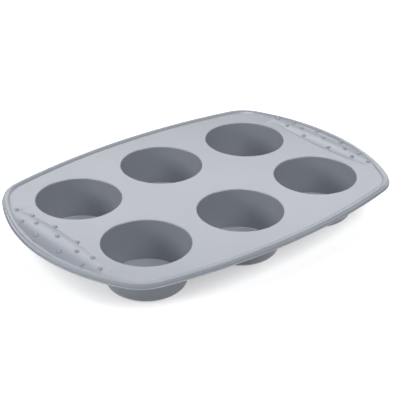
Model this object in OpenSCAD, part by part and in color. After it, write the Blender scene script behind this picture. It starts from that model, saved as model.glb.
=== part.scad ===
// Six-cup muffin pan, moulded in one piece of soft silicone.
// The pan stands on the flat bottoms of its cups at z = 0.
// Its length runs along X and its width along Y, with the origin under its middle.

/* [Outline] */
// Length of the pan over its rim
pan_length = 321.65; // [318:0.05:330]
// Width of the pan over its rim
pan_width = 222.55; // [219:0.05:228]
// Radius of the bow of the two long sides
side_radius = 549.95; // [500:0.05:600]
// Radius of the bow of the two short ends
end_radius = 166.705; // [160:0.005:175]
// Radius of the four corners
corner_radius = 34.5; // [30:0.5:40]

/* [Deck] */
// Height of the deck's upper face over the cup bottoms
deck_height = 35; // [28:0.5:45]
// Thickness of the deck
deck_thickness = 2; // [1.5:0.1:2.5]

/* [Rim bead] */
// Height of the bead's crest over the deck
bead_rise = 1.7; // [1:0.1:2.5]
// Distance of the crest from the outline
bead_crest_inset = 2.9; // [2.8:0.1:3.4]
// Radius of the bead's inner flank, from the crest down to the deck
bead_inner_radius = 5.8; // [4.5:0.1:7]
// Radius of the bead's outer shoulder
bead_outer_radius = 1.8; // [1.6:0.1:2.4]
// Depth of the bead's foot below the deck's upper face
bead_drop = 3; // [2.8:0.1:4]
// Width of the bead's foot under the deck
bead_foot_width = 6.2; // [5:0.1:8]
// Thickness of the thin lip round the bead's lower edge
lip_thickness = 1; // [0.6:0.2:1.2]

/* [Cups] */
// Distance between neighbouring cups along a row
cup_pitch = 89.7; // [84:0.1:92]
// Distance of the end cups from the pan's long centre line
cup_row_offset = 44.9; // [43:0.1:48]
// Outward shift of the middle cup of each row
cup_middle_shift = 6.2; // [0:0.1:7]
// Radius of the flat bottom of a cup
cup_bottom_radius = 26.35; // [22:0.05:27]
// Radius of the rounding between a cup's bottom and its wall, on the outside
cup_bottom_round = 5.65; // [4:0.05:6]
// Outward lean of a cup's wall, as run over rise
cup_wall_slope = 0.1339; // [0.1:0.0001:0.15]
// Thickness of a cup's wall and floor
cup_wall = 1.7; // [1.3:0.1:2.2]
// Radius of the rounding between a cup's floor and its wall, on the inside
floor_round = 1.5; // [1:0.1:2.5]
// Radius of the rounded edge at a cup's mouth
mouth_round = 0.9; // [0.6:0.1:1.9]
// Radius of the fillet between a cup's wall and the deck's underside
under_round = 2.5; // [1.5:0.1:3.5]

/* [Grips] */
// Distance of a grip pad's inner edge from the pan's middle
pad_inner_x = 131; // [129:0.5:133]
// Radius of the bow of a grip pad's inner edge
pad_inner_radius = 296; // [250:1:350]
// Height of a grip pad's crown over the deck
pad_crown = 2; // [1:0.1:2.5]
// Radius of the crown across a grip pad
pad_cross_radius = 40; // [35:1:60]
// Radius of the crown along a grip pad
pad_long_radius = 1100; // [900:10:1400]

/* [Grip bumps] */
// Radius of the small spheres that stand out of a grip pad
bump_radius = 1.7; // [1.4:0.1:2]
// Height of a bump over the face it stands on
bump_height = 1; // [0.6:0.1:1.2]
// Distance of the middle of a grip's bump pattern from the pan's middle
bumps_x = 141.35; // [140.55:0.4:142.55]
// Distance of the row of six bumps from the pattern's middle
six_row_x = 11.75; // [10:0.25:12]
// Radius of the bow of the row of six
six_row_bow = 175; // [150:5:400]
// Distance of the inner two bumps of the row of six from its middle
six_row_inner = 15; // [10:1:20]
// Distance of the next two bumps of the row of six from its middle
six_row_next = 41; // [30:1:45]
// Distance of the outer two bumps of the row of six from its middle
six_row_outer = 57; // [50:1:60]
// Distance of the row of three bumps from the pattern's middle
three_row_x = 5.2; // [3:0.1:6]
// Radius of the bow of the row of three
three_row_bow = 390; // [300:10:800]
// Distance of the outer two bumps of the row of three from its middle bump
three_row_outer = 27.5; // [20:0.5:35]
// Distance of the row of four bumps from the pattern's middle, on its other side
four_row_x = 5.7; // [4:0.1:7]
// Radius of the bow of the row of four
four_row_bow = 222; // [150:2:400]
// Distance of the inner two bumps of the row of four from its middle
four_row_inner = 15.5; // [10:0.5:25]
// Distance of the outer two bumps of the row of four from its middle
four_row_outer = 41; // [30:0.5:50]

/* [Hidden] */
silicone = "#a3a8b2";

// Number of segments round the cups and the small roundings
$fn = 96;
// Number of segments round a bump
bump_fn = 32;
// Number of segments across the grip's crown
wide_fn = 360;
// Number of segments round a bow's full circle
bow_fn = 1440;

// Depth by which a rounding bites into the face beside it, so that they cross and don't only touch
bite = 0.002;
// Reach of one solid into another where they are joined
overlap = 1;

// Centre of the right end's bow
end_centre = [pan_length / 2 - end_radius, 0];
// Centre of the back side's bow
side_centre = [0, pan_width / 2 - side_radius];

// The corner's centre lies where the side's and the end's bows, both moved in by its radius, cross
side_reach = side_radius - corner_radius;
end_reach = end_radius - corner_radius;
centre_gap = norm(end_centre - side_centre);
centre_line = (end_centre - side_centre) / centre_gap;
along = (side_reach ^ 2 - end_reach ^ 2 + centre_gap ^ 2) / (2 * centre_gap);
across = sqrt(side_reach ^ 2 - along ^ 2);
corner_centre = side_centre + along * centre_line + across * [centre_line.y, -centre_line.x];

// Shares of the two reaches by which the lines between the arcs run on past the corner's centre
side_joint_share = 0.1;
end_joint_share = 0.4;

// Points beyond the corner, on the lines where its arc meets the side's and the end's bows
side_joint = corner_centre + side_joint_share * (corner_centre - side_centre);
end_joint = corner_centre + end_joint_share * (corner_centre - end_centre);
corner_tip = side_joint + end_joint - corner_centre;

// Half the angles of the side's and the end's arcs
side_half_angle = asin(corner_centre.x / side_reach);
end_half_angle = asin(corner_centre.y / end_reach);
// Angle by which those arcs are swept past both their ends before they are trimmed
spare_angle = 2;
// Direction of the middle of the corner's sweep and half its angle, which is trimmed too
corner_direction = 54;
corner_half_sweep = 45;

// Places of the bead's parts, measured from the outline and from the deck's upper face
bead_face = bead_crest_inset - bead_outer_radius;
bead_shoulder = bead_rise - bead_outer_radius;
bead_chamfer = bead_drop - deck_thickness;
bead_inner_end = bead_crest_inset + bead_inner_radius;
lip_round = lip_thickness / 2;

// Distance of the bead's inner foot from the outline
bead_foot = bead_crest_inset + sqrt(bead_inner_radius ^ 2 - (bead_inner_radius - bead_rise) ^ 2);
// Distance of a grip pad's middle from the pan's middle
pad_x = (pad_inner_x + pan_length / 2 - bead_foot) / 2;
// Angle over which the crown's ring is swept, past both tips of the pad
pad_sweep = 10;

// Angle by which a cup's wall leans outward
lean = atan(cup_wall_slope);

// Steps in which each of the deck's hidden edges follows its bow
deck_steps = 2;

// Middles of the cups
cup_places = [
    for (column = [-1, 0, 1], row = [-1, 1])
        [column * cup_pitch, row * (cup_row_offset + (column == 0 ? cup_middle_shift : 0))]
];

// Height of the grip pads' crowns over the deck
function pad_rise(x, y) =
    let (off_middle = abs(x) - pad_x)
    let (ring = pad_long_radius - pad_cross_radius + sqrt(pad_cross_radius ^ 2 - off_middle ^ 2))
    max(0, sqrt(ring ^ 2 - y ^ 2) - pad_long_radius + pad_crown);

// Points of an arc, taken from one angle to another
function arc_points(centre, radius, from, to, steps) = [
    for (i = [0 : steps])
        centre + radius * [cos(from + (to - from) * i / steps), sin(from + (to - from) * i / steps)]
];

// Section of the rim bead and a strip of the deck: outer edge at x = 0, deck's upper face at y = 0
module bead_section() {
    polygon([
        [-bead_inner_end, 0],
        [-bead_inner_end, -deck_thickness],
        [-bead_foot_width - bead_chamfer, -deck_thickness],
        [-bead_foot_width, -bead_drop],
        [-lip_round, -bead_drop],
        [-lip_round, lip_thickness - bead_drop],
        [-bead_face, lip_thickness - bead_drop],
        [-bead_face, bead_shoulder],
        [-bead_crest_inset, bead_shoulder],
        [-bead_crest_inset, 0]
    ]);
    // Inner flank
    intersection() {
        translate([-bead_crest_inset, bead_rise - bead_inner_radius]) circle(bead_inner_radius);
        translate([-bead_inner_end, 0]) square([bead_inner_radius, bead_rise + overlap]);
    }
    // Outer shoulder
    intersection() {
        translate([-bead_crest_inset, bead_shoulder]) circle(bead_outer_radius);
        translate([-bead_crest_inset, bead_shoulder]) square(bead_outer_radius + overlap);
    }
    // Round edge of the lip
    intersection() {
        translate([-lip_round, lip_round - bead_drop]) circle(lip_round);
        translate([-lip_round, -bead_drop]) square([lip_thickness, lip_thickness]);
    }
}

// Bead swept round a bow's centre, some way past both ends of the bow
module bead_arc(centre, radius, middle, half_angle) {
    translate([centre.x, centre.y, deck_height])
        rotate([0, 0, middle - half_angle])
            rotate_extrude(angle = 2 * half_angle, $fn = bow_fn)
                translate([radius, 0])
                    bead_section();
}

// Wedge-shaped block as high as the bead, used to trim the arcs to meet face to face
module wedge(points) {
    translate([0, 0, deck_height - bead_drop - overlap])
        linear_extrude(bead_drop + bead_rise + 2 * overlap)
            polygon(points);
}

module back_bead() {
    intersection() {
        bead_arc(side_centre, side_radius, 90, side_half_angle + spare_angle);
        wedge([
            side_centre,
            side_joint,
            [side_joint.x, pan_width],
            [-side_joint.x, pan_width],
            [-side_joint.x, side_joint.y]
        ]);
    }
}

module right_bead() {
    intersection() {
        bead_arc(end_centre, end_radius, 0, end_half_angle + spare_angle);
        wedge([
            end_centre,
            [end_joint.x, -end_joint.y],
            [pan_length, -end_joint.y],
            [pan_length, end_joint.y],
            end_joint
        ]);
    }
}

module corner_bead() {
    intersection() {
        bead_arc(corner_centre, corner_radius, corner_direction, corner_half_sweep);
        wedge([corner_centre, end_joint, corner_tip, side_joint]);
    }
}

// Whole bead round the pan
module bead() {
    for (flip = [0, 1]) {
        mirror([0, flip, 0]) back_bead();
        mirror([flip, 0, 0]) right_bead();
        for (turn = [0, 1]) mirror([flip, 0, 0]) mirror([0, turn, 0]) corner_bead();
    }
}

// Flat deck, its edge hidden inside the bead
module deck() {
    quarter = concat(
        arc_points(end_centre, end_radius - bead_crest_inset, 0, end_half_angle, deck_steps),
        arc_points(
            side_centre, side_radius - bead_crest_inset, 90 - side_half_angle, 90, deck_steps
        )
    );
    half = concat(quarter, [for (i = [len(quarter) - 2 : -1 : 0]) [-quarter[i].x, quarter[i].y]]);
    outline = concat(half, [for (i = [len(half) - 2 : -1 : 1]) [half[i].x, -half[i].y]]);
    translate([0, 0, deck_height - deck_thickness])
        linear_extrude(deck_thickness)
            polygon(outline);
}

// Radius of a cup's wall at a height, on its outside or moved in by a distance square to the wall
function wall_radius(z, inward = 0) =
    cup_bottom_radius + (cup_bottom_round - inward) * cos(lean)
    + (z - cup_bottom_round + (cup_bottom_round - inward) * sin(lean)) * cup_wall_slope;

// Full outer form of a cup
module cup_outside() {
    round_centre = [cup_bottom_radius, cup_bottom_round];
    wall_start = round_centre + cup_bottom_round * [cos(lean), -sin(lean)] - [bite, 0];
    wall_end = deck_height - deck_thickness / 2;
    deck_bottom = deck_height - deck_thickness;

    // The fillet's centre lies off the wall and below the deck
    fillet_z = deck_bottom - under_round + bite;
    touch_z = fillet_z + (under_round - bite) * sin(lean);
    touch = [wall_radius(touch_z), touch_z];
    fillet_centre = touch + (under_round - bite) * [cos(lean), -sin(lean)];

    rotate_extrude() {
        polygon([
            [0, 0],
            [cup_bottom_radius, 0],
            wall_start,
            [wall_radius(wall_end), wall_end],
            [0, wall_end]
        ]);
        translate(round_centre) circle(cup_bottom_round);
        difference() {
            polygon([
                [touch.x - overlap, touch.y],
                touch,
                fillet_centre,
                [fillet_centre.x, wall_end],
                [touch.x - overlap, wall_end]
            ]);
            translate(fillet_centre) circle(under_round);
        }
    }
}

// Hollow of a cup, up through the deck, with the rounded edge at its mouth
module cup_hollow() {
    // The floor's rounding touches the floor and the leaning wall
    round_z = cup_wall + floor_round;
    round_centre = [wall_radius(round_z, cup_wall) - floor_round / cos(lean), round_z];
    wall_start = round_centre + floor_round * [cos(lean), -sin(lean)] - [bite, 0];

    mouth_z = deck_height - mouth_round + bite;
    touch_z = mouth_z + (mouth_round - bite) * sin(lean);
    touch = [wall_radius(touch_z, cup_wall), touch_z];
    mouth_centre = touch + (mouth_round - bite) * [cos(lean), -sin(lean)];

    rotate_extrude() {
        difference() {
            polygon([
                [0, cup_wall],
                [round_centre.x, cup_wall],
                wall_start,
                touch,
                mouth_centre,
                [mouth_centre.x, deck_height + overlap],
                [0, deck_height + overlap]
            ]);
            translate(mouth_centre) circle(mouth_round);
        }
        translate(round_centre) circle(floor_round);
    }
}

// Crowned pad of the right grip: a wide ring's top, cut to a lens between its inner edge and the bead
module grip_pad() {
    intersection() {
        translate([0, 0, deck_height - deck_thickness / 2])
            linear_extrude(deck_thickness + pad_crown)
                intersection() {
                    translate([pad_inner_x + pad_inner_radius, 0])
                        circle(pad_inner_radius, $fn = bow_fn);
                    translate(end_centre)
                        circle(end_radius - (bead_crest_inset + bead_foot) / 2, $fn = bow_fn);
                }
        translate([pad_x, 0, deck_height + pad_crown - pad_long_radius])
            rotate([0, -90, 0])
                rotate([0, 0, -pad_sweep / 2])
                    rotate_extrude(angle = pad_sweep, $fn = bow_fn)
                        translate([pad_long_radius - pad_cross_radius, 0])
                            circle(pad_cross_radius, $fn = wide_fn);
    }
}

// One small dome that stands on a grip
module bump(x, y) {
    translate([x, y, deck_height + pad_rise(x, y) + bump_height - bump_radius])
        sphere(bump_radius, $fn = bump_fn);
}

// Two bumps of a bowed row, one on each side of its middle
module bump_pair(row_x, side, bow, place) {
    for (turn = [-1, 1])
        bump(row_x - side * place ^ 2 / (2 * bow), turn * place);
}

// Bumps of the grip at one end of the pan, which lie the same way round at both ends
module bumps(end) {
    middle_x = end * bumps_x;
    for (place = [six_row_inner, six_row_next, six_row_outer])
        bump_pair(middle_x + six_row_x, 1, six_row_bow, place);
    bump(middle_x + three_row_x, 0);
    bump_pair(middle_x + three_row_x, 1, three_row_bow, three_row_outer);
    for (place = [four_row_inner, four_row_outer])
        bump_pair(middle_x - four_row_x, -1, four_row_bow, place);
}

module muffin_pan() {
    color(silicone)
        difference() {
            union() {
                deck();
                bead();
                for (flip = [0, 1]) mirror([flip, 0, 0]) grip_pad();
                for (end = [-1, 1]) bumps(end);
                for (place = cup_places) translate(place) cup_outside();
            }
            for (place = cup_places) translate(place) cup_hollow();
        }
}

muffin_pan();
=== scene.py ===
"""Looks of the silicone muffin pan: one moulded skin, its material, a pale floor, soft light."""
import math

import bmesh
import bpy
import numpy as np
from mathutils import Euler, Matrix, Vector
from mathutils.geometry import delaunay_2d_cdt


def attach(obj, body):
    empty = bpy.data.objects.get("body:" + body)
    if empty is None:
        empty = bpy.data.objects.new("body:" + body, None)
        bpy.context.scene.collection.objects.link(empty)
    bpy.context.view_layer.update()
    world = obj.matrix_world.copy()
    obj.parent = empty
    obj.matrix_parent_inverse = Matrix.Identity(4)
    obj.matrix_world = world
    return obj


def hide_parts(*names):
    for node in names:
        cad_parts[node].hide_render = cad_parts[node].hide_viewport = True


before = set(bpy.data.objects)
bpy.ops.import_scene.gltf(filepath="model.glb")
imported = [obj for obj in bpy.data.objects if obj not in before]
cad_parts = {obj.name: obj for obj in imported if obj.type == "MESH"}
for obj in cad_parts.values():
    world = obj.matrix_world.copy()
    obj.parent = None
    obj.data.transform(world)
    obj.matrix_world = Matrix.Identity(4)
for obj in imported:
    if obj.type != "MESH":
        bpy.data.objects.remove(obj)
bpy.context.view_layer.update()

# Sizes of the pan are in millimetres, with the origin under the pan's middle. The studio's are in
# metres.
MM = 0.001

# Outline of the pan: four bows joined by four corner arcs
PAN_LENGTH = 321.65
PAN_WIDTH = 222.55
SIDE_RADIUS = 549.95
END_RADIUS = 166.705
CORNER_RADIUS = 34.5

# Deck and rim bead
DECK_HEIGHT = 35.0
DECK_THICKNESS = 2.0
BEAD_RISE = 1.4
BEAD_CREST_INSET = 2.75
BEAD_INNER_RADIUS = 5.8
BEAD_CREST_RADIUS = 5.0
BEAD_CREST_ANGLE = math.radians(10.0)
BEAD_SHOULDER_RADIUS = 0.65
BEAD_FACE_LEAN = 0.35
BEAD_DROP = 3.0
BEAD_FOOT_WIDTH = 6.2
BEAD_FOOT_BEVEL = ((-0.3, 0.0), (0.0, 0.08), (0.25, 0.3))  # inwards and up from the foot's edge
LIP_THICKNESS = 1.0

# Cups
CUP_PITCH = 89.7
CUP_ROW_OFFSET = 44.9
CUP_MIDDLE_SHIFT = 6.2
CUP_BOTTOM_RADIUS = 26.35
CUP_BOTTOM_ROUND = 5.65
CUP_WALL_SLOPE = 0.1339
CUP_WALL = 1.2
CUP_FLOOR = 1.7
FLOOR_ROUND = 0.5
MOUTH_ROUND = 0.9
UNDER_ROUND = 2.5

# Grip pads. A pad's crown is a piece of a wide ring, cut off by the pad's bowed inner edge
PAD_INNER_X = 131.0
PAD_INNER_RADIUS = 296.0
PAD_EDGE = 0.3
PAD_CROWN = 1.5
PAD_CROSS_RADIUS = 54.0
PAD_LONG_RADIUS = 1466.0

# Bumps on the pads. Their domes go down past their widest, so that their open edges lie in the pads
BUMP_RADIUS = 1.9
BUMP_HEIGHT = 1.5
BUMP_TIP_ANGLE = math.radians(8)
BUMP_EDGE_ANGLE = math.radians(105.0)
BUMPS_X = 141.35
BUMP_ROWS = [  # middle of the row, its bow radius, the side it bows to, places along it
    (11.75, 175.0, 1, (-57.0, -41.0, -15.0, 15.0, 41.0, 57.0)),
    (5.2, 390.0, 1, (-27.5, 0.0, 27.5)),
    (5.7, 222.0, -1, (-41.0, -15.5, 15.5, 41.0)),
]
BUMP_SHIFTS = {  # how far each end's soft grip carries its rows along the pan and across it
    -1: ((-0.4, 2.5), (-2.2, 3.1), (-3.0, -0.5)),
    1: ((-1.0, 0.8), (-1.4, 0.9), (-0.9, 0.1)),
}

# Soft ends: how far the unsupported grips hang at their tips, and where that begins
DROOP = 1.1
DROOP_START = 122.0

# Fineness of the mesh: steps along each form
BOW_STEPS = 72
CORNER_STEPS = 28
CUP_SEGMENTS = 128
CUP_EDGE_STEPS = 10
CUP_ROUND_STEPS = 12
CUP_WALL_SHARES = (0.03, 0.2, 0.4, 0.6, 0.8, 0.97)
CUP_FLOOR_SHARES = (0.985, 0.8, 0.55, 0.3, 0.12)
BEAD_FLANK_STEPS = 10
BEAD_CREST_STEPS = 5
BEAD_SHOULDER_STEPS = 8
BEAD_FOOT_SHARE = 0.45
LIP_STEPS = 8
BUMP_SEGMENTS = 28
BUMP_RINGS = 11
FOOT_HALVINGS = 40  # of the span in which the foot of the bead's inner flank is sought

# Narrow bands of faces that keep the shading of a round off the flat face beside it
CUP_GUARD = 0.4
LIP_GUARD = 0.1

# Lines and grids in the deck's faces at the grips: first, last and step, and what they keep clear
EDGE_LINE_Y = (-66.0, 66.0, 1.5)
CROWN_LINE_Y = (50.0, 66.5, 0.75)
CROWN_LINE_CLEARANCE = 0.3
PAD_GRID_X = 1.5
PAD_GRID_Y = (-67.5, 67.5, 2.5)
PAD_GRID_CLEARANCE = 0.6
PAD_GRID_EDGE_CLEARANCE = 0.5
PAD_GRID_LEAST_RISE = 0.02
UNDER_GRID_X = (126.0, 150.0, 6.0)
UNDER_GRID_Y = (-85.0, 85.0, 5.0)
UNDER_GRID_SCALE = 0.985
UNDER_GRID_CLEARANCE = 1.5

# Joining and shading
WELD_DISTANCE = 0.01
TRIANGULATION_DISTANCE = 1e-5
WITH_HULL = 0  # delaunay_2d_cdt's output of all triangles inside the points' hull
SHARP_ANGLE = math.radians(18.0)

# Silicone. A roughness that varied from 0.264 to 0.276 rendered with curled marks on the deck, and
# this lower range, from 0.246 to 0.270, renders without them
SILICONE_COLOUR = (0.13, 0.14, 0.161)
SILICONE_IOR = 1.43
SILICONE_ROUGHNESS = 0.258
GLOSS_SPREAD = 0.012
GLOSS_RANGE = (0.3, 0.7)
CLOUD_STOPS = ((0.3, 0.96), (0.7, 1.04))  # place in the noise and share of the colour
SPECK_STOPS = ((0.35, 0.93), (0.65, 1.07))
SPECK_SHARE = 0.35
GRAIN_STRENGTH = 0.2
GRAIN_DEPTH = 0.01

# Noise of each pattern in the silicone: ripples to a metre, and octaves of detail
CLOUDS = (22.0, 3.0)
SPECKS = (1400.0, 2.0)
GLOSS = (45.0, 4.0)
GRAIN = (1800.0, 2.0)

# Camera, fitted to the cups' mouths and the outline in the photo
CAMERA_LENS = 105.434
CAMERA_SENSOR = 36
CAMERA_PLACE = (-0.551106, -0.656396, 0.486216)
CAMERA_TURN = (math.radians(61.56), math.radians(-0.618), math.radians(-39.721))

# Floor: a white acrylic table, lit a little from below, as a studio uses for a white ground. It
# lies just under the cups, because two faces in one plane flicker
WHITE = (1, 1, 1, 1)
FLOOR_REACH = 30.0
FLOOR_GAP = 0.2 * MM
PAPER_SHADE = 0.62
PAPER_ROUGHNESS = 0.9
PAPER_GLOW = 0.4
WORLD_STRENGTH = 0.02

# Soft lights: place, the point it shines at, width and height, and power in watts
LIGHTS = {
    "back_low": ((1.30, 1.54, 0.27), (0, 0, 0.1), (2.4, 0.5), 6.5),
    "back_middle": ((1.125, 1.33, 1.05), (0, 0, 0.03), (1.4, 0.5), 9.7),
    "overhead_softbox": ((0.0, 0.1, 1.9), (0, 0, 0.03), (0.7, 0.7), 24.0),
    "left_high": ((-1.3, 0.1, 1.5), (0, 0, 0.03), (0.8, 0.8), 26.0),
    "left_softbox": ((-1.75, 0.65, 0.65), (0, 0, 0.03), (1.2, 0.5), 30.0),
    "front_softbox": ((0.45, -1.5, 1.5), (0, 0, 0.03), (1.2, 1.2), 57.0),
}

# Worked out from the sizes above: the cup wall's lean, the bows' middles, where the bead's inner
# flank would meet the flat deck, the pads' middles and the cups' places
LEAN = math.atan(CUP_WALL_SLOPE)
END_CENTRE = np.array([PAN_LENGTH / 2 - END_RADIUS, 0.0])
SIDE_CENTRE = np.array([0.0, PAN_WIDTH / 2 - SIDE_RADIUS])
FLANK_FOOT = BEAD_CREST_INSET + math.sqrt(
    BEAD_INNER_RADIUS**2 - (BEAD_INNER_RADIUS - BEAD_RISE) ** 2
)
PAD_X = (PAD_INNER_X + PAN_LENGTH / 2 - FLANK_FOOT) / 2
CUPS = [
    (column * CUP_PITCH, row * (CUP_ROW_OFFSET + (CUP_MIDDLE_SHIFT if column == 0 else 0)))
    for column in (-1, 0, 1)
    for row in (-1, 1)
]


# Outline

def corner_centre():
    """Middle of the right back corner's arc, where the two bows moved in by its radius cross."""
    side_reach, end_reach = SIDE_RADIUS - CORNER_RADIUS, END_RADIUS - CORNER_RADIUS
    gap = np.linalg.norm(END_CENTRE - SIDE_CENTRE)
    line = (END_CENTRE - SIDE_CENTRE) / gap
    along = (side_reach**2 - end_reach**2 + gap**2) / (2 * gap)
    across = math.sqrt(side_reach**2 - along**2)
    return SIDE_CENTRE + along * line + across * np.array([line[1], -line[0]])


def outline_stations():
    """Arc centre, radius and angle of each point of the outline.

    The outline goes anticlockwise from the right end's middle. Its first quarter is mirrored.
    """
    corner = corner_centre()
    end_half = math.asin(corner[1] / (END_RADIUS - CORNER_RADIUS))
    side_half = math.asin(corner[0] / (SIDE_RADIUS - CORNER_RADIUS))
    right_angle = math.pi / 2
    quarter = [
        (centre, radius, a)
        for centre, radius, start, end, steps in (
            (END_CENTRE, END_RADIUS, 0, end_half, BOW_STEPS // 2),
            (corner, CORNER_RADIUS, end_half, right_angle - side_half, CORNER_STEPS),
            (SIDE_CENTRE, SIDE_RADIUS, right_angle - side_half, right_angle, BOW_STEPS // 2),
        )
        for a in np.linspace(start, end, steps + 1)[:-1]
    ]
    half = quarter + [(SIDE_CENTRE, SIDE_RADIUS, right_angle)]
    half += [(centre * [-1, 1], radius, math.pi - a) for centre, radius, a in quarter[:0:-1]]
    whole = half + [(END_CENTRE * [-1, 1], END_RADIUS, math.pi)]
    whole += [(centre * [1, -1], radius, -a) for centre, radius, a in half[:0:-1]]
    return whole


def outline_point(station, inset):
    centre, radius, angle = station
    return centre + (radius - inset) * np.array([math.cos(angle), math.sin(angle)])


def outline_inset(x, y):
    """Distance of a point of a grip inside the outline of the end's bow."""
    return END_RADIUS - math.hypot(abs(x) - END_CENTRE[0], y)


# Heights over the deck's upper face

def crown(x, y):
    """Height of a grip pad's crown, or 0 beside it."""
    off_middle = abs(x) - PAD_X
    if abs(off_middle) >= PAD_CROSS_RADIUS:
        return 0.0
    ring = PAD_LONG_RADIUS - PAD_CROSS_RADIUS + math.sqrt(PAD_CROSS_RADIUS**2 - off_middle**2)
    return max(0.0, math.sqrt(ring**2 - y**2) - PAD_LONG_RADIUS + PAD_CROWN)


def pad_rise(x, y):
    """Height of a grip pad over the deck, with its steep inner edge."""
    inside = PAD_INNER_RADIUS - math.hypot(abs(x) - PAD_INNER_X - PAD_INNER_RADIUS, y)
    return crown(x, y) * min(1.0, max(0.0, inside / PAD_EDGE))


def edge_x(y, step):
    """Where a pad's inner edge lies, a step inside the pad."""
    return PAD_INNER_X + PAD_INNER_RADIUS - math.sqrt((PAD_INNER_RADIUS - step) ** 2 - y**2)


def flank_height(inset):
    """Height of the bead's inner flank at a distance inside the outline."""
    return BEAD_RISE - BEAD_INNER_RADIUS + math.sqrt(
        BEAD_INNER_RADIUS**2 - (inset - BEAD_CREST_INSET) ** 2
    )


def foot_inset(station):
    """Distance inside the outline at which the bead's inner flank meets the deck or a grip pad."""
    low, high = BEAD_CREST_INSET, FLANK_FOOT
    for _ in range(FOOT_HALVINGS):
        middle = (low + high) / 2
        if flank_height(middle) > pad_rise(*outline_point(station, middle)):
            low = middle
        else:
            high = middle
    return (low + high) / 2


# Sections

def arc(centre, radius, start, end, steps):
    """Points of a section's arc, both ends included."""
    return [
        (centre[0] + radius * math.cos(a), centre[1] + radius * math.sin(a))
        for a in np.linspace(start, end, steps + 1)
    ]


def wall_radius(z, inward):
    """Radius at a height of a cup's outer wall, moved inwards at right angles to it."""
    reach = CUP_BOTTOM_ROUND - inward
    return (
        CUP_BOTTOM_RADIUS
        + reach * math.cos(LEAN)
        + (z - CUP_BOTTOM_ROUND + reach * math.sin(LEAN)) * CUP_WALL_SLOPE
    )


def cup_section(inward, face_z, edge_round, floor_z, floor_round):
    """One face of a cup, from the flat face that it leaves down to the middle of its floor."""
    touch_z = face_z - edge_round + edge_round * math.sin(LEAN)
    centre = (wall_radius(touch_z, inward) + edge_round * math.cos(LEAN), face_z - edge_round)
    upper = arc(centre, edge_round, math.pi / 2, math.pi - LEAN, CUP_EDGE_STEPS)
    round_z = floor_z + floor_round
    round_r = wall_radius(round_z, inward) - floor_round / math.cos(LEAN)
    lower = arc((round_r, round_z), floor_round, -LEAN, -math.pi / 2, CUP_ROUND_STEPS)
    start, end = np.array(upper[-1]), np.array(lower[0])
    wall = [tuple(start + (end - start) * share) for share in CUP_WALL_SHARES]
    floor = [(round_r * share, floor_z) for share in CUP_FLOOR_SHARES]
    return upper + wall + lower + floor


def bead_section(foot):
    """The bead from its inner foot over the crest and round the lip to the deck's underside.

    Each point is a distance inside the outline and a height over the deck's upper face.
    """
    start = math.asin((foot - BEAD_CREST_INSET) / BEAD_INNER_RADIUS)
    inner = [
        (BEAD_CREST_INSET + p[0], BEAD_RISE - BEAD_INNER_RADIUS + p[1])
        for p in arc((0, 0), BEAD_INNER_RADIUS, math.pi / 2 - start, math.pi / 2, BEAD_FLANK_STEPS)
    ]
    # Outside the crest the bead falls off gently, then turns down to its face round a shoulder
    turn = math.pi / 2 - BEAD_CREST_ANGLE
    centre = (BEAD_CREST_INSET, BEAD_RISE - BEAD_CREST_RADIUS)
    crest = [
        (centre[0] - p[0], centre[1] + p[1])
        for p in arc((0, 0), BEAD_CREST_RADIUS, math.pi / 2, turn, BEAD_CREST_STEPS)[1:]
    ]
    share = 1 - BEAD_SHOULDER_RADIUS / BEAD_CREST_RADIUS
    shoulder = (
        centre[0] + (crest[-1][0] - centre[0]) * share,
        centre[1] + (crest[-1][1] - centre[1]) * share,
    )
    outer = crest + [
        (shoulder[0] - p[0], shoulder[1] + p[1])
        for p in arc((0, 0), BEAD_SHOULDER_RADIUS, turn, 0, BEAD_SHOULDER_STEPS)[1:]
    ]
    face = shoulder[0] - BEAD_SHOULDER_RADIUS
    low = face - BEAD_FACE_LEAN
    lip_top = LIP_THICKNESS - BEAD_DROP
    side = [
        ((face + low) / 2, (shoulder[1] + lip_top) / 2),
        (low, lip_top + LIP_GUARD),
        (low, lip_top),
    ]
    lip = LIP_THICKNESS / 2
    edge = [
        (lip - p[0], lip - BEAD_DROP + p[1])
        for p in arc((0, 0), lip, math.pi / 2, -math.pi / 2, LIP_STEPS)
    ]
    under = [(BEAD_FOOT_WIDTH * BEAD_FOOT_SHARE, -BEAD_DROP)]
    under += [(BEAD_FOOT_WIDTH + inwards, -BEAD_DROP + up) for inwards, up in BEAD_FOOT_BEVEL]
    under += [(BEAD_FOOT_WIDTH + BEAD_DROP - DECK_THICKNESS, -DECK_THICKNESS)]
    return inner + outer + side + edge + under


# Mesh

class Skin:
    """Vertices and faces of the skin, collected part by part."""

    def __init__(self):
        self.points = []
        self.faces = []

    def add(self, points, faces):
        start = len(self.points)
        self.points += [tuple(float(c) for c in p) for p in points]
        self.faces += [tuple(start + i for i in f) for f in faces]

    def bands(self, loops):
        """Joins closed loops of equally many points, one after the other, with quads."""
        n = len(loops[0])
        faces = [
            (k * n + i, k * n + (i + 1) % n, (k + 1) * n + (i + 1) % n, (k + 1) * n + i)
            for k in range(len(loops) - 1)
            for i in range(n)
        ]
        self.add([p for loop in loops for p in loop], faces)

    def cap(self, loop, middle):
        """Closes a loop with triangles round a middle point."""
        n = len(loop)
        self.add([*loop, middle], [(i, (i + 1) % n, n) for i in range(n)])


def circle(centre, radius, count):
    return [
        (centre[0] + radius * math.cos(a), centre[1] + radius * math.sin(a))
        for a in np.linspace(0, 2 * math.pi, count, endpoint=False)
    ]


def spaced(first, last, step):
    """Values a step apart, the last one included."""
    return np.arange(first, last + step / 2, step)


def add_cup_faces(skin, section):
    """One face of all six cups. Returns the radius at which it leaves the deck."""
    for centre in CUPS:
        loops = [[(x, y, z) for x, y in circle(centre, r, CUP_SEGMENTS)] for r, z in section]
        skin.bands(loops)
        skin.cap(loops[-1], (*centre, section[-1][1]))
    return section[0][0]


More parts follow.
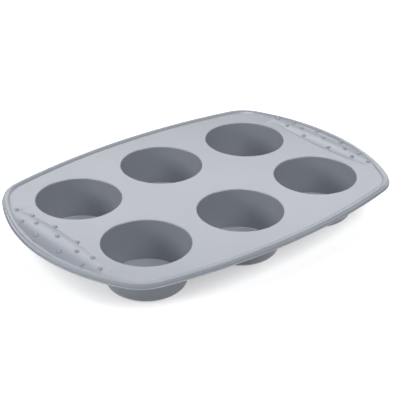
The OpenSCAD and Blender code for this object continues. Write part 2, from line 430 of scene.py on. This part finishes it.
def add_bead(skin):
    """Rim bead swept round the outline. Returns the loops where it meets the deck's two faces."""
    sections = [
        [
            (*outline_point(station, inset), DECK_HEIGHT + z)
            for inset, z in bead_section(foot_inset(station))
        ]
        for station in outline_stations()
    ]
    loops = list(zip(*sections))
    skin.bands(loops)
    return [p[:2] for p in loops[0]], [p[:2] for p in loops[-1]]


def inside_loop(loop, points):
    """Which points lie inside a closed loop, by counting the sides to their right."""
    x, y = points[:, :1], points[:, 1:]
    x0, y0 = loop[None, :, 0], loop[None, :, 1]
    x1, y1 = np.roll(x0, -1, 1), np.roll(y0, -1, 1)
    crosses = (y0 > y) != (y1 > y)
    at = x0 + (y - y0) / np.where(y1 == y0, 1.0, y1 - y0) * (x1 - x0)
    return np.count_nonzero(crosses & (at > x), axis=1) % 2 == 1


def add_deck_face(skin, outer_loop, hole_radius, height, lines=(), extra=()):
    """Triangles of one face of the deck, between the bead's loop and the cups.

    The mesh follows the open lines and takes up the extra points.
    """
    points, edges = [], []

    def follow(line, closed):
        start, count = len(points), len(line)
        points.extend(Vector(p) for p in line)
        sides = count if closed else count - 1
        edges.extend((start + i, start + (i + 1) % count) for i in range(sides))

    follow(outer_loop, True)
    for centre in CUPS:
        follow(circle(centre, hole_radius, CUP_SEGMENTS), True)
        follow(circle(centre, hole_radius + CUP_GUARD, CUP_SEGMENTS), True)
    for line in lines:
        follow(line, False)
    points.extend(Vector(p) for p in extra)
    made, _, triangles = delaunay_2d_cdt(
        points, edges, [], WITH_HULL, TRIANGULATION_DISTANCE
    )[:3]
    flat = np.array([tuple(p) for p in made])
    triangles = np.array([tuple(t) for t in triangles])
    middles = flat[triangles].mean(1)
    wanted = inside_loop(np.array(outer_loop), middles)
    nearest = hole_radius * math.cos(math.pi / CUP_SEGMENTS)
    for centre in CUPS:
        wanted &= np.hypot(*(middles - centre).T) > nearest
    skin.add([(x, y, height(x, y)) for x, y in flat], [tuple(t) for t in triangles[wanted]])


def edge_lines(end):
    """Foot and top of one pad's steep inner edge."""
    span = [y for y in spaced(*EDGE_LINE_Y) if crown(edge_x(y, PAD_EDGE), y) > 0.0]
    # One step further both ways, so that the lines end on the flat deck
    step = EDGE_LINE_Y[-1]
    span = [span[0] - step, *span, span[-1] + step]
    return [[(end * edge_x(y, inside), y) for y in span] for inside in (0.0, PAD_EDGE)]


def crown_line(end, side, tip):
    """Where one pad's crown runs out, on one side of its middle and towards one of its tips."""
    line = []
    for y in spaced(*CROWN_LINE_Y):
        ring = math.sqrt((PAD_LONG_RADIUS - PAD_CROWN) ** 2 + y**2)
        rest = PAD_CROSS_RADIUS**2 - (ring - PAD_LONG_RADIUS + PAD_CROSS_RADIUS) ** 2
        if rest < 0.0:
            break
        x = PAD_X + side * math.sqrt(rest)
        if x > edge_x(y, PAD_EDGE) and outline_inset(x, y) > FLANK_FOOT + CROWN_LINE_CLEARANCE:
            line.append((end * x, tip * y))
    return line


def pad_lines(end):
    """Lines that the mesh follows on one grip."""
    run_outs = [crown_line(end, side, tip) for side in (-1, 1) for tip in (-1, 1)]
    return edge_lines(end) + [line for line in run_outs if len(line) > 1]


def pad_points(end):
    """Points of a grid over one pad, clear of its edges."""
    for y in spaced(*PAD_GRID_Y):
        for x in np.arange(PAD_INNER_X, PAN_LENGTH / 2, PAD_GRID_X):
            if (
                outline_inset(x, y) > FLANK_FOOT + PAD_GRID_CLEARANCE
                and x > edge_x(y, PAD_EDGE) + PAD_GRID_EDGE_CLEARANCE
                and crown(x, y) > PAD_GRID_LEAST_RISE
            ):
                yield end * x, y


def under_points(end, loop, hole_radius):
    """Points of a grid under one grip, so that the underside hangs as the upper face does."""
    within = np.array(loop) * UNDER_GRID_SCALE
    for x in end * spaced(*UNDER_GRID_X):
        for y in spaced(*UNDER_GRID_Y):
            clear = hole_radius + UNDER_GRID_CLEARANCE
            if inside_loop(within, np.array([[x, y]]))[0] and all(
                math.hypot(x - cup[0], y - cup[1]) > clear for cup in CUPS
            ):
                yield x, y


def bump_places():
    """Places of the bumps on both grips, which lie the same way round at both ends."""
    for end, shifts in BUMP_SHIFTS.items():
        for (row_x, bow, side, places), (along, across) in zip(BUMP_ROWS, shifts):
            for y in places:
                x = end * BUMPS_X + side * (row_x - y * y / (2 * bow))
                yield x + along, y + across


def add_bumps(skin):
    """Small domes that stand out of the pads."""
    for x, y in bump_places():
        z = DECK_HEIGHT + crown(x, y) + BUMP_HEIGHT - BUMP_RADIUS
        rings = []
        for polar in np.linspace(BUMP_EDGE_ANGLE, BUMP_TIP_ANGLE, BUMP_RINGS):
            flat = circle((x, y), BUMP_RADIUS * math.sin(polar), BUMP_SEGMENTS)
            rings.append([(*p, z + BUMP_RADIUS * math.cos(polar)) for p in flat])
        skin.bands(rings)
        skin.cap(rings[-1], (x, y, z + BUMP_RADIUS))


def hang(x, y, z):
    """Lets the soft ends hang a little, more towards their tips."""
    reach = max(0.0, (abs(x) - DROOP_START) / (PAN_LENGTH / 2 - DROOP_START))
    return x, y, z - DROOP * reach**2


def mesh_of(name, skin, closed):
    """Mesh in metres of a skin whose parts are welded together where they meet."""
    mesh = bpy.data.meshes.new(name)
    mesh.from_pydata([tuple(c * MM for c in hang(*p)) for p in skin.points], [], skin.faces)
    work = bmesh.new()
    work.from_mesh(mesh)
    bmesh.ops.remove_doubles(work, verts=work.verts, dist=WELD_DISTANCE * MM)
    loose = [v for v in work.verts if not v.link_faces]
    bmesh.ops.delete(work, geom=loose, context="VERTS")
    if closed:
        bmesh.ops.recalc_face_normals(work, faces=work.faces)
    work.to_mesh(mesh)
    open_edges = sum(1 for e in work.edges if len(e.link_faces) != 2)
    work.free()
    print(name, len(mesh.polygons), "faces,", open_edges, "open edges")
    return mesh


def body_mesh():
    """The closed skin of the pan without its bumps."""
    skin = Skin()
    deck_top, deck_under = DECK_HEIGHT, DECK_HEIGHT - DECK_THICKNESS
    mouth_radius = add_cup_faces(
        skin, cup_section(CUP_WALL, deck_top, MOUTH_ROUND, CUP_FLOOR, FLOOR_ROUND)
    )
    under_radius = add_cup_faces(
        skin, cup_section(0.0, deck_under, UNDER_ROUND, 0.0, CUP_BOTTOM_ROUND)
    )
    top_loop, under_loop = add_bead(skin)
    ends = (-1, 1)
    lines = [line for end in ends for line in pad_lines(end)]
    grid = [p for end in ends for p in pad_points(end)]
    add_deck_face(
        skin, top_loop, mouth_radius, lambda x, y: deck_top + pad_rise(x, y), lines, grid
    )
    under_grid = [p for end in ends for p in under_points(end, under_loop, under_radius)]
    add_deck_face(skin, under_loop, under_radius, lambda x, y: deck_under, extra=under_grid)
    return mesh_of("pan_body", skin, True)


def bumps_mesh():
    skin = Skin()
    add_bumps(skin)
    return mesh_of("pan_bumps", skin, False)


def put_in_scene(name, data):
    thing = bpy.data.objects.new(name, data)
    bpy.context.scene.collection.objects.link(thing)
    return thing


def build_pan():
    """The whole skin as one object, smooth but for its sharp corners."""
    mesh = bpy.data.meshes.new("muffin_pan_skin")
    work = bmesh.new()
    for part in (body_mesh(), bumps_mesh()):
        work.from_mesh(part)
        bpy.data.meshes.remove(part)
    work.to_mesh(mesh)
    work.free()
    mesh.shade_smooth()
    mesh.set_sharp_from_angle(angle=SHARP_ANGLE)
    return put_in_scene("muffin_pan_skin", mesh)


# Material

def silicone_material():
    """Satin grey silicone: clouded, speckled pigment, uneven gloss and the mould's fine grain."""
    material = bpy.data.materials.new("silicone")
    material.use_nodes = True
    tree = material.node_tree
    shader = tree.nodes["Principled BSDF"]
    shader.inputs["IOR"].default_value = SILICONE_IOR
    place = tree.nodes.new("ShaderNodeTexCoord").outputs["Object"]

    def noise(scale, detail):
        node = tree.nodes.new("ShaderNodeTexNoise")
        node.inputs["Scale"].default_value = scale
        node.inputs["Detail"].default_value = detail
        tree.links.new(place, node.inputs["Vector"])
        return node.outputs["Fac"]

    def ramp(value, stops):
        node = tree.nodes.new("ShaderNodeValToRGB")
        for stop, (position, shade) in zip(node.color_ramp.elements, stops):
            stop.position = position
            stop.color = (*(shade * c for c in SILICONE_COLOUR), 1)
        tree.links.new(value, node.inputs["Fac"])
        return node.outputs["Color"]

    # Pigment: broad clouds, with a fine speckle over them
    clouds = ramp(noise(*CLOUDS), CLOUD_STOPS)
    specks = ramp(noise(*SPECKS), SPECK_STOPS)
    pigment = tree.nodes.new("ShaderNodeMix")
    pigment.data_type = "RGBA"
    pigment.inputs["Factor"].default_value = SPECK_SHARE
    tree.links.new(clouds, pigment.inputs["A"])
    tree.links.new(specks, pigment.inputs["B"])
    tree.links.new(pigment.outputs["Result"], shader.inputs["Base Color"])

    # Gloss: handled and washed places shine a little more than the rest
    gloss = tree.nodes.new("ShaderNodeMapRange")
    gloss.inputs["From Min"].default_value = GLOSS_RANGE[0]
    gloss.inputs["From Max"].default_value = GLOSS_RANGE[1]
    gloss.inputs["To Min"].default_value = SILICONE_ROUGHNESS - GLOSS_SPREAD
    gloss.inputs["To Max"].default_value = SILICONE_ROUGHNESS + GLOSS_SPREAD
    tree.links.new(noise(*GLOSS), gloss.inputs["Value"])
    tree.links.new(gloss.outputs["Result"], shader.inputs["Roughness"])

    # Grain that the mould's blasted face leaves
    grain = tree.nodes.new("ShaderNodeBump")
    grain.inputs["Strength"].default_value = GRAIN_STRENGTH
    grain.inputs["Distance"].default_value = GRAIN_DEPTH * MM
    tree.links.new(noise(*GRAIN), grain.inputs["Height"])
    tree.links.new(grain.outputs["Normal"], shader.inputs["Normal"])
    return material


# Studio

def make_camera():
    camera = bpy.data.cameras.new("camera")
    camera.lens = CAMERA_LENS
    camera.sensor_width = CAMERA_SENSOR
    eye = put_in_scene("camera", camera)
    eye.location = CAMERA_PLACE
    eye.rotation_euler = Euler(CAMERA_TURN)
    bpy.context.scene.camera = eye


def paper_material():
    material = bpy.data.materials.new("paper")
    material.use_nodes = True
    surface = material.node_tree.nodes["Principled BSDF"].inputs
    surface["Base Color"].default_value = (PAPER_SHADE, PAPER_SHADE, PAPER_SHADE, 1)
    surface["Roughness"].default_value = PAPER_ROUGHNESS
    surface["Emission Color"].default_value = WHITE
    surface["Emission Strength"].default_value = PAPER_GLOW
    return material


def make_floor():
    mesh = bpy.data.meshes.new("floor")
    corners = [(-1, -1), (1, -1), (1, 1), (-1, 1)]
    mesh.from_pydata(
        [(x * FLOOR_REACH, y * FLOOR_REACH, -FLOOR_GAP) for x, y in corners], [], [(0, 1, 2, 3)]
    )
    mesh.materials.append(paper_material())
    return put_in_scene("floor", mesh)


def make_world():
    """Faint even light, so that no shade goes black."""
    world = bpy.data.worlds.new("studio")
    bpy.context.scene.world = world
    world.use_nodes = True
    background = world.node_tree.nodes["Background"].inputs
    background["Color"].default_value = WHITE
    background["Strength"].default_value = WORLD_STRENGTH


def make_area(name, place, target, size, power):
    light = bpy.data.lights.new(name, "AREA")
    light.shape = "RECTANGLE"
    light.size, light.size_y = size
    light.energy = power
    thing = put_in_scene(name, light)
    thing.location = place
    ray = Vector(target) - Vector(place)
    thing.rotation_euler = ray.to_track_quat("-Z", "Y").to_euler()


make_camera()
floor = make_floor()
make_world()
# Plain colours, so that the white ground stays white
bpy.context.scene.view_settings.view_transform = "Standard"
for light_name, settings in LIGHTS.items():
    make_area(light_name, *settings)

pan = build_pan()
pan.data.materials.append(silicone_material())
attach(pan, "root")
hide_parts("muffin_pan")
